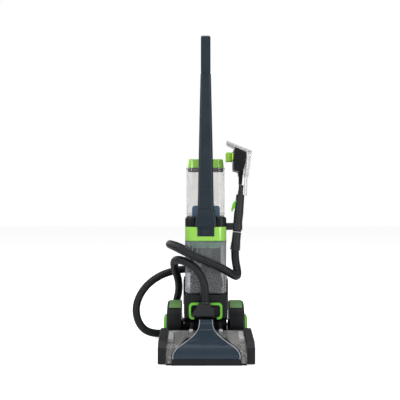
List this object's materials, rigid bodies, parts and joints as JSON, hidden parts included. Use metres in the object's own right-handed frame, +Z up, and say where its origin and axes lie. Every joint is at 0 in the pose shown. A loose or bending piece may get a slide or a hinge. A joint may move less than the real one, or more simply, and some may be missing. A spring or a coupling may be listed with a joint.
{
  "type": "upright carpet washer",
  "caption": "Upright carpet washer with wide clear nozzle head, two stacked clear tanks, tall loop handle and a stowed spray tool on a flexible hose.",
  "frame": {"origin": "on the floor, on the underside of the floor head at the middle of its length and width", "axes": "+Z up, +Y to the rear (the machine is pushed towards -Y), +X to the right as seen from the front by someone facing it"},
  "size_m": [0.4313, 0.4608, 1.0998],
  "materials": {
    "black_plastic": "satin moulded",
    "navy_plastic": "satin moulded",
    "clear_plastic": "clear, glossy",
    "smoke_clear_plastic": "clear, faintly smoked",
    "tinted_clear_plastic": "blue-grey tinted, glossy",
    "green_clear_plastic": "green tinted, translucent",
    "lime_plastic": "glossy",
    "green_plastic": "glossy",
    "muted_green_plastic": "satin",
    "lime_bristle": "nylon",
    "blue_grey_plastic": "satin",
    "dark_rubber": "matt",
    "hose_rubber": "satin ribbed",
    "dark_grey_plastic": "satin",
    "white_plastic": "satin",
    "steel": "turned",
    "motor_metal": "painted",
    "brush_plastic": "moulded"
  },
  "bodies": {
    "base": {"sole_plate": "black_plastic", "window_nozzle": "tinted_clear_plastic", "head_cover": "clear_plastic", "end_cap_left": "black_plastic", "end_cap_right": "black_plastic", "base_chassis": "black_plastic", "fender_left": "black_plastic", "fender_right": "black_plastic", "fender_trims": "muted_green_plastic", "hub_caps": "green_plastic", "axle": "steel", "brush_motor": "motor_metal", "drive_belt": "dark_rubber", "spray_bar": "white_plastic", "suction_duct": "dark_grey_plastic"},
    "upright": {"motor_housing": "black_plastic", "rear_spine": "black_plastic", "suction_motor": "motor_metal", "water_pump": "white_plastic", "port_latch": "green_plastic", "hose_connector": "dark_grey_plastic", "dirty_tank": "smoke_clear_plastic", "lid_seal": "dark_rubber", "dirty_tank_lid": "lime_plastic", "tank_latch": "navy_plastic", "separator_bowl": "green_clear_plastic", "riser_column": "smoke_clear_plastic", "collar": "black_plastic", "tank_dock": "blue_grey_plastic", "stem": "navy_plastic", "handle_grip": "navy_plastic", "cord_hook_lower": "black_plastic", "wand_grip": "dark_grey_plastic", "wand_clip": "dark_grey_plastic", "hose_cuff": "dark_grey_plastic", "tool_body": "black_plastic", "tool_duct": "clear_plastic", "hose": "hose_rubber", "housing_screws": "steel"},
    "left_wheel": {"wheel_left": "black_plastic", "tyre_left": "dark_rubber"},
    "right_wheel": {"wheel_right": "black_plastic", "tyre_right": "dark_rubber"},
    "brush": {"brush_roll": "brush_plastic"},
    "pulley": {"motor_pulley": "steel"},
    "recline_lever": {"recline_pedal": "black_plastic"},
    "power_lever": {"power_pedal": "black_plastic"},
    "fan": {"fan_rotor": "white_plastic"},
    "tank_button": {"latch_button": "navy_plastic"},
    "float": {"shutoff_float": "white_plastic"},
    "water_tank": {"clean_tank": "clear_plastic", "tank_neck_ring": "dark_rubber", "tank_valve": "dark_rubber"},
    "tank_cap": {"clean_tank_cap": "lime_plastic"},
    "grip_trigger": {"handle_trigger": "black_plastic"},
    "spray_trigger": {"wand_trigger": "green_plastic"},
    "cord_swivel": {"cord_hook_upper": "black_plastic"},
    "disc_1": {"tool_disc_1": "lime_bristle"},
    "disc_2": {"tool_disc_2": "lime_bristle"},
    "disc_3": {"tool_disc_3": "lime_bristle"}
  },
  "joints": [
    {"name": "recline", "type": "hinge", "parent": "base", "child": "upright", "pos_m": [0, 0.222, 0.065], "axis": [-1, 0, 0], "range_deg": [0, 60]},
    {"name": "left_wheel_spin", "type": "hinge", "parent": "base", "child": "left_wheel", "pos_m": [0, 0.222, 0.065], "axis": [1, 0, 0], "continuous": true},
    {"name": "right_wheel_spin", "type": "hinge", "parent": "base", "child": "right_wheel", "pos_m": [0, 0.222, 0.065], "axis": [1, 0, 0], "continuous": true},
    {"name": "brush_spin", "type": "hinge", "parent": "base", "child": "brush", "pos_m": [0, -0.032, 0.0215], "axis": [1, 0, 0], "continuous": true},
    {"name": "pulley_spin", "type": "hinge", "parent": "base", "child": "pulley", "pos_m": [-0.1155, 0.104, 0.034], "axis": [1, 0, 0], "continuous": true},
    {"name": "recline_pedal_press", "type": "hinge", "parent": "base", "child": "recline_lever", "pos_m": [-0.056, 0.283, 0.025], "axis": [-1, 0, 0], "range_deg": [0, 12], "stiffness_Nm_per_rad": 1, "springref_deg": -17.19},
    {"name": "power_pedal_press", "type": "hinge", "parent": "base", "child": "power_lever", "pos_m": [0.056, 0.283, 0.025], "axis": [-1, 0, 0], "range_deg": [0, 12], "stiffness_Nm_per_rad": 1, "springref_deg": -17.19},
    {"name": "fan_spin", "type": "hinge", "parent": "upright", "child": "fan", "pos_m": [-0.018, 0.178, 0.16], "axis": [0, 0, 1], "continuous": true},
    {"name": "tank_button_press", "type": "slide", "parent": "upright", "child": "tank_button", "axis": [0, 1, 0], "range_m": [0, 0.0035], "stiffness_N_per_m": 800, "springref_m": -0.004},
    {"name": "float_rise", "type": "slide", "parent": "upright", "child": "float", "axis": [0, 0, 1], "range_m": [0, 0.04]},
    {"name": "clean_tank_lift", "type": "slide", "parent": "upright", "child": "water_tank", "axis": [0, 0, 1], "range_m": [0, 0.06]},
    {"name": "tank_cap_lift", "type": "slide", "parent": "water_tank", "child": "tank_cap", "axis": [0, 0, 1], "range_m": [0, 0.035]},
    {"name": "grip_trigger_squeeze", "type": "hinge", "parent": "upright", "child": "grip_trigger", "pos_m": [0, 0.212, 1.057], "axis": [1, 0, 0], "range_deg": [0, 7], "stiffness_Nm_per_rad": 0.5, "springref_deg": -17.19},
    {"name": "spray_trigger_squeeze", "type": "hinge", "parent": "upright", "child": "spray_trigger", "pos_m": [0.108, 0.163, 0.511], "axis": [0, -1, 0], "range_deg": [0, 5], "stiffness_Nm_per_rad": 0.3, "springref_deg": -17.19},
    {"name": "cord_hook_turn", "type": "hinge", "parent": "upright", "child": "cord_swivel", "pos_m": [0, 0.18, 0.9], "axis": [0, 1, 0], "range_deg": [0, 180]},
    {"name": "disc_2_spin", "type": "hinge", "parent": "upright", "child": "disc_2", "pos_m": [0.095, 0.163, 0.668], "axis": [1, 0, 0], "continuous": true},
    {"name": "disc_1_spin", "type": "hinge", "parent": "upright", "child": "disc_1", "pos_m": [0.095, 0.1294, 0.668], "axis": [1, 0, 0], "continuous": true},
    {"name": "disc_3_spin", "type": "hinge", "parent": "upright", "child": "disc_3", "pos_m": [0.095, 0.1966, 0.668], "axis": [1, 0, 0], "continuous": true}
  ],
  "couplings": [
    {"joint": "pulley_spin", "follows": "brush_spin", "ratio": 1.625},
    {"joint": "disc_1_spin", "follows": "disc_2_spin", "ratio": -1},
    {"joint": "disc_3_spin", "follows": "disc_2_spin", "ratio": -1}
  ]
}
